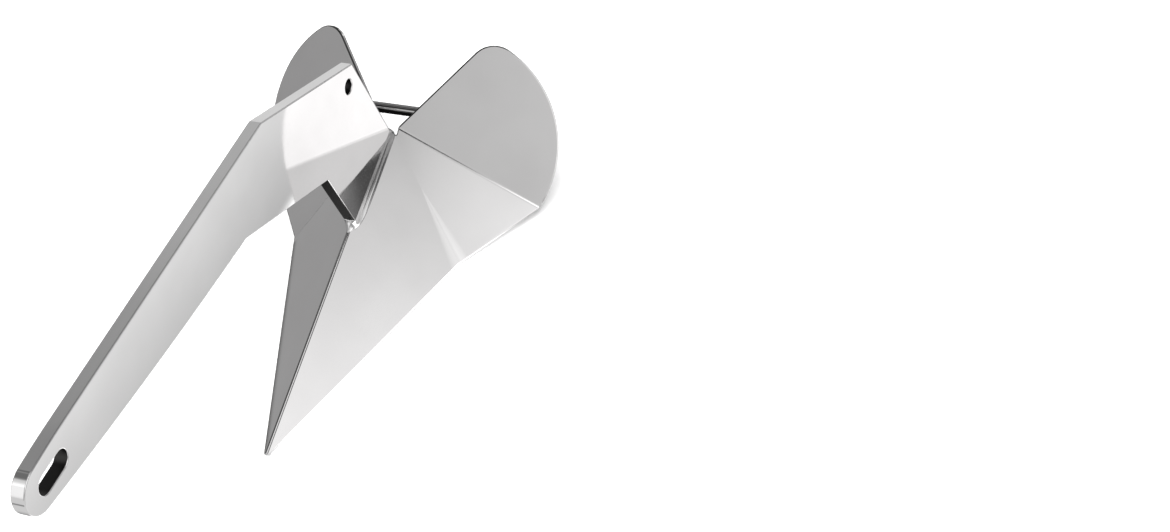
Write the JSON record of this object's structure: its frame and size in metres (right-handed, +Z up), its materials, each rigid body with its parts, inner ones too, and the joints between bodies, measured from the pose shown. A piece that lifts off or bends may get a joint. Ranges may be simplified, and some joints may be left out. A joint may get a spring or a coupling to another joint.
{
  "type": "plough anchor",
  "caption": "Plough anchor with a folded fluke plate, a cranked plate shank welded along its ridge, a tie bar behind and a slotted eye for a shackle.",
  "frame": {"origin": "middle of the bounding box at floor level, where the anchor stands on the two front edges of its fluke", "axes": "+X forward to the tip and the eye of the shank, +Y to port, +Z up; the plane Y = 0 is the plane of symmetry"},
  "size_m": [0.706, 0.3188, 0.2969],
  "materials": {
    "fluke_steel": "mirror polished stainless steel plate",
    "shank_steel": "mirror polished stainless steel plate with eased edges",
    "bar_steel": "polished round stainless steel bar",
    "weld_steel": "polished fillet weld",
    "ballast_steel": "plain steel wedge below the tip"
  },
  "bodies": {
    "root": {"shank": "shank_steel", "fluke": "fluke_steel", "cross_bar": "bar_steel", "tip_ballast": "ballast_steel", "weld_port": "weld_steel", "weld_starboard": "weld_steel", "weld_toe": "weld_steel", "weld_heel": "weld_steel", "bar_weld_port": "weld_steel", "bar_weld_starboard": "weld_steel"}
  },
  "joints": []
}
